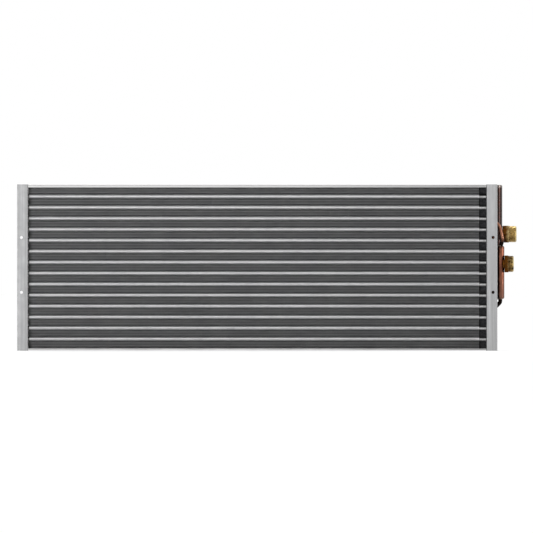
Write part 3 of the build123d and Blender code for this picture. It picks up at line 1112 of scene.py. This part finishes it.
def union(name, node, low, high, axis, header_radius, hex_length, material):
    y, z = (low.y + high.y) / 2, (low.z + high.z) / 2
    seat = axis.x + header_radius + seat_gap
    nose = seat + hex_length
    end = high.x
    root = thread_radius - thread_depth
    bm = bmesh.new()
    hexagon(bm, seat, hex_length, y, z)
    depth = end - seat - bore_floor
    body = [
        (0.0, seat - axis.x), (neck_radius, seat - axis.x), (neck_radius, nose - axis.x - 1 * MM),
        (root, nose - axis.x - 1 * MM), (root, end - axis.x - 1.2 * MM), (root - 1.2 * MM, end - axis.x),
        (bore_radius + 1.0 * MM, end - axis.x), (bore_radius, end - axis.x - 1.0 * MM),
        (bore_radius, end - axis.x - depth), (port_radius, end - axis.x - depth - 1.5 * MM),
        (port_radius, header_radius), (0.0, header_radius),
    ]
    lathe(bm, body, (axis.x, y, z), (1, 0, 0), UNION_SEGMENTS)
    lathe(bm, [(0.0, header_radius * 0.6), (neck_radius, header_radius * 0.6), (neck_radius, seat - axis.x + 1 * MM),
               (0.0, seat - axis.x + 1 * MM)], (axis.x, y, z), (1, 0, 0), UNION_SEGMENTS)
    thread(bm, nose, end - 1.0 * MM, y, z)
    return finish_piece(bm, name, material, [node])


gas_hex_length = 15.0 * MM
liquid_hex_length = 9.0 * MM
union(
    "gas_union", "gas_inlet_fitting", gas_union_low, gas_union_high, gas_axis, gas_radius, gas_hex_length,
    GAS_BRASS,
)
union(
    "liquid_union", "liquid_outlet_fitting", liquid_union_low, liquid_union_high, liquid_axis, liquid_radius,
    liquid_hex_length, LIQUID_BRASS,
)
finish_piece(braze, "braze_rings", BRAZE)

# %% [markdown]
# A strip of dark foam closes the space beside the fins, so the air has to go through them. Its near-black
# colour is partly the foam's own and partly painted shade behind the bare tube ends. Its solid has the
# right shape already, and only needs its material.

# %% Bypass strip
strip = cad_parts["bypass_strip"]
strip.material_slots[0].material = FOAM_AND_SHADE

# %% [markdown]
# The stage is a pale floor under a white surround. The world lights the coil softly from all sides. For
# camera rays, and for what metal mirrors, it is plain white, and the floor is lifted towards white in the
# same way, so that its soft shadow stays. Two large lamps give the metal some direction, and a very soft
# one high behind the coil lays its shadow on the floor.

# %% Floor, surround and lamps
floor_size = 120.0
soft_light = 0.55
floor_glow = 0.56
floor_paint = 0.46
bounce_paint = 0.8


def seen_mask(nodes, links):
    """1 for camera, glossy and transmission rays."""
    path = nodes.new("ShaderNodeLightPath")
    first = nodes.new("ShaderNodeMath")
    first.operation = "MAXIMUM"
    second = nodes.new("ShaderNodeMath")
    second.operation = "MAXIMUM"
    links.new(path.outputs["Is Camera Ray"], first.inputs[0])
    links.new(path.outputs["Is Glossy Ray"], first.inputs[1])
    links.new(first.outputs[0], second.inputs[0])
    links.new(path.outputs["Is Transmission Ray"], second.inputs[1])
    return second.outputs[0]


def pale_floor():
    """Seen directly it glows almost white and keeps its shadows. Its bounced light is that of pale paint."""
    material = bpy.data.materials.new("pale_floor")
    material.use_nodes = True
    nodes, links = material.node_tree.nodes, material.node_tree.links
    nodes.clear()
    seen = nodes.new("ShaderNodeBsdfDiffuse")
    seen.inputs["Color"].default_value = (floor_paint, floor_paint, floor_paint, 1.0)
    glow = nodes.new("ShaderNodeEmission")
    glow.inputs["Strength"].default_value = floor_glow
    both = nodes.new("ShaderNodeAddShader")
    bounced = nodes.new("ShaderNodeBsdfDiffuse")
    bounced.inputs["Color"].default_value = (bounce_paint, bounce_paint, bounce_paint, 1.0)
    mix = nodes.new("ShaderNodeMixShader")
    out = nodes.new("ShaderNodeOutputMaterial")
    links.new(seen.outputs["BSDF"], both.inputs[0])
    links.new(glow.outputs["Emission"], both.inputs[1])
    links.new(seen_mask(nodes, links), mix.inputs["Fac"])
    links.new(bounced.outputs["BSDF"], mix.inputs[1])
    links.new(both.outputs["Shader"], mix.inputs[2])
    links.new(mix.outputs["Shader"], out.inputs["Surface"])
    return material


def build_floor():
    bm = bmesh.new()
    bmesh.ops.create_grid(
        bm, x_segments=1, y_segments=1, size=floor_size / 2, matrix=Matrix.Translation((0, 0, base_height))
    )
    mesh = bpy.data.meshes.new("floor")
    bm.to_mesh(mesh)
    bm.free()
    mesh.materials.append(pale_floor())
    floor = bpy.data.objects.new("floor", mesh)
    bpy.context.scene.collection.objects.link(floor)


def white_world():
    world = bpy.data.worlds.new("white_surround")
    bpy.context.scene.world = world
    world.use_nodes = True
    nodes, links = world.node_tree.nodes, world.node_tree.links
    shade = nodes["Background"]
    level = nodes.new("ShaderNodeMapRange")
    level.inputs["To Min"].default_value = soft_light
    level.inputs["To Max"].default_value = 1.0
    links.new(seen_mask(nodes, links), level.inputs["Value"])
    links.new(level.outputs["Result"], shade.inputs["Strength"])
    shade.inputs["Color"].default_value = (1.0, 1.0, 1.0, 1.0)


def soft_lamp(name, place, size, power):
    lamp = bpy.data.lights.new(name, "AREA")
    lamp.shape = "RECTANGLE"
    lamp.size, lamp.size_y = size
    lamp.energy = power
    holder = bpy.data.objects.new(name, lamp)
    holder.location = place
    holder.rotation_euler = (Vector((0, 0, 0)) - Vector(place)).to_track_quat("-Z", "Y").to_euler()
    bpy.context.scene.collection.objects.link(holder)


def high_lamp(name, tilt, turn, strength, spread):
    """A very large soft lamp, so far off that it lights all of the floor alike."""
    lamp = bpy.data.lights.new(name, "SUN")
    lamp.energy = strength
    lamp.angle = spread
    holder = bpy.data.objects.new(name, lamp)
    holder.rotation_euler = (tilt, 0, turn)
    bpy.context.scene.collection.objects.link(holder)


build_floor()
white_world()
soft_lamp("key_lamp", (-0.8, -3.4, 0.3), (2.6, 1.6), 30)
soft_lamp("side_lamp", (2.6, -0.7, 0.6), (0.35, 1.6), 20)
high_lamp("high_lamp", math.radians(-32), math.radians(20), 1.6, math.radians(25))

# %% [markdown]
# The coil is seen straight from the front and almost without perspective, so the camera has a long lens
# and stands far away. Its distance follows from the width that the picture covers.

# %% Camera
picture_width = 1.2341
picture_centre_x = 0.0214
picture_centre_height = 0.1948
lens = 1000.0
sensor = 36.0

camera_data = bpy.data.cameras.new("camera")
camera_data.lens = lens
camera_data.sensor_width = sensor
camera_data.clip_end = 200.0
camera = bpy.data.objects.new("camera", camera_data)
distance = picture_width * lens / sensor
camera.location = (picture_centre_x, -distance, base_height + picture_centre_height)
camera.rotation_euler = (math.pi / 2, 0, 0)
bpy.context.scene.collection.objects.link(camera)
bpy.context.scene.camera = camera
bpy.context.scene.view_settings.view_transform = "Standard"
print("camera distance", round(distance, 3))
